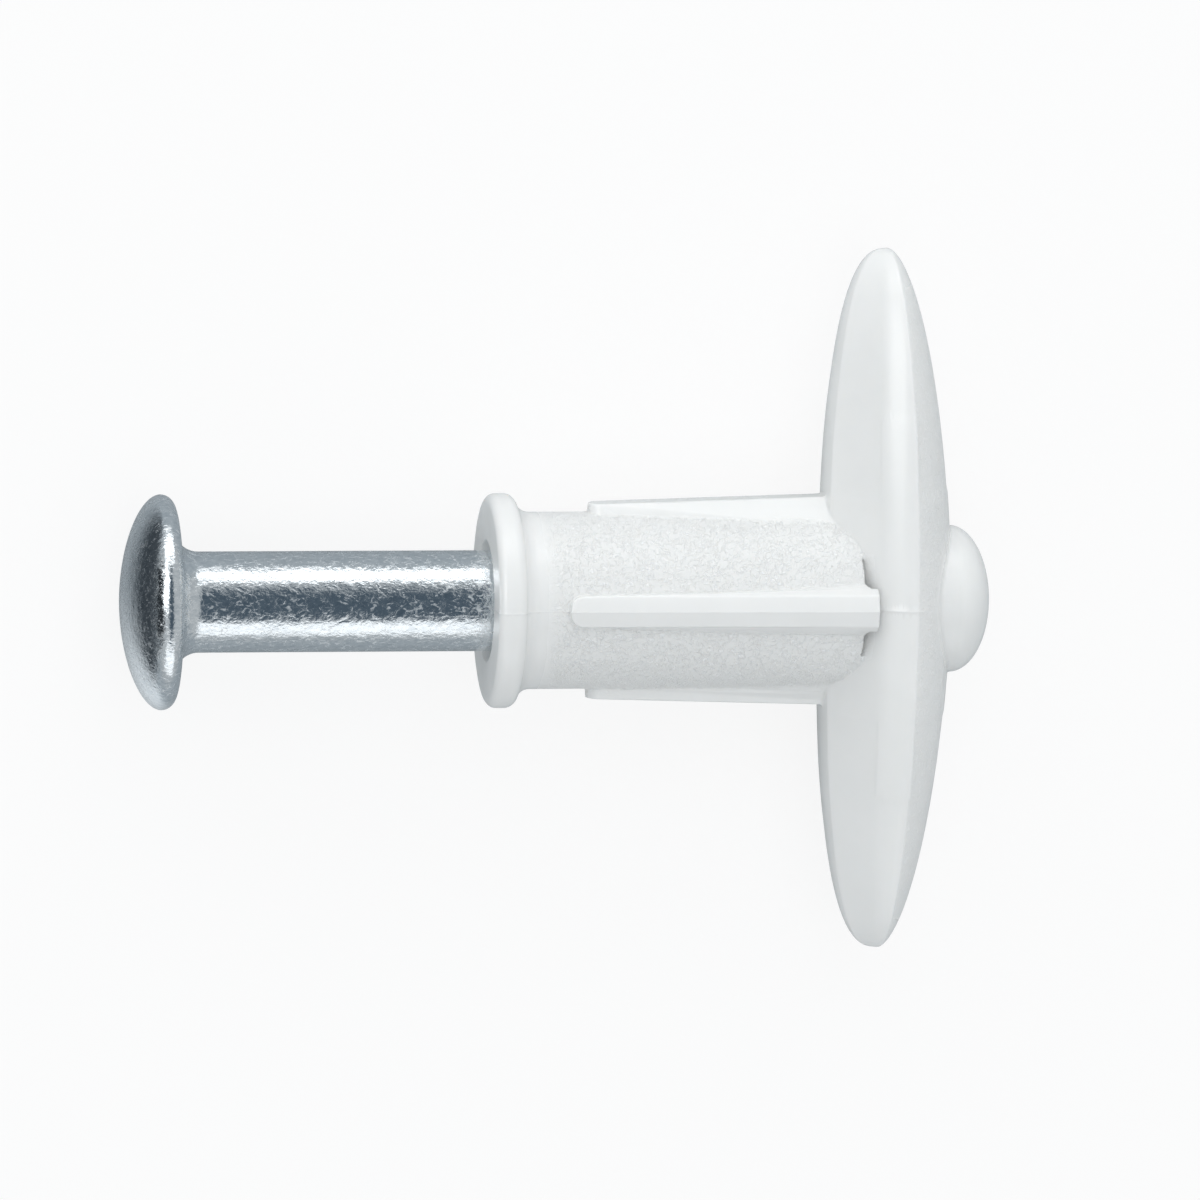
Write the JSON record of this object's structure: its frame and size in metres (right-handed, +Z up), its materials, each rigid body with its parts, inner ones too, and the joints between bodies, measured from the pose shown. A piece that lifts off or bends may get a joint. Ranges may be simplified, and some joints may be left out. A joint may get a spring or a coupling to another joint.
{
  "type": "toggle anchor",
  "caption": "Hollow-wall toggle anchor: a finned plastic sleeve with collar, crowned cross bar and end button moulded in one, and a domed steel drive pin that slides in its bore.",
  "frame": {"origin": "on the table that it lies on, under the middle of its box", "axes": "+X along the pin's axis from its head towards the bar, +Y along the bar, +Z up from the table"},
  "size_m": [0.0326, 0.0264, 0.008],
  "materials": {
    "white_plastic": "moulded, fine spark texture",
    "zinc_steel": "bright zinc plate"
  },
  "bodies": {
    "anchor": {"anchor_body": "white_plastic"},
    "pin": {"drive_pin": "zinc_steel"}
  },
  "joints": [
    {"name": "pin_drive", "type": "slide", "parent": "anchor", "child": "pin", "axis": [1, 0, 0], "range_m": [0, 0.0113]}
  ]
}
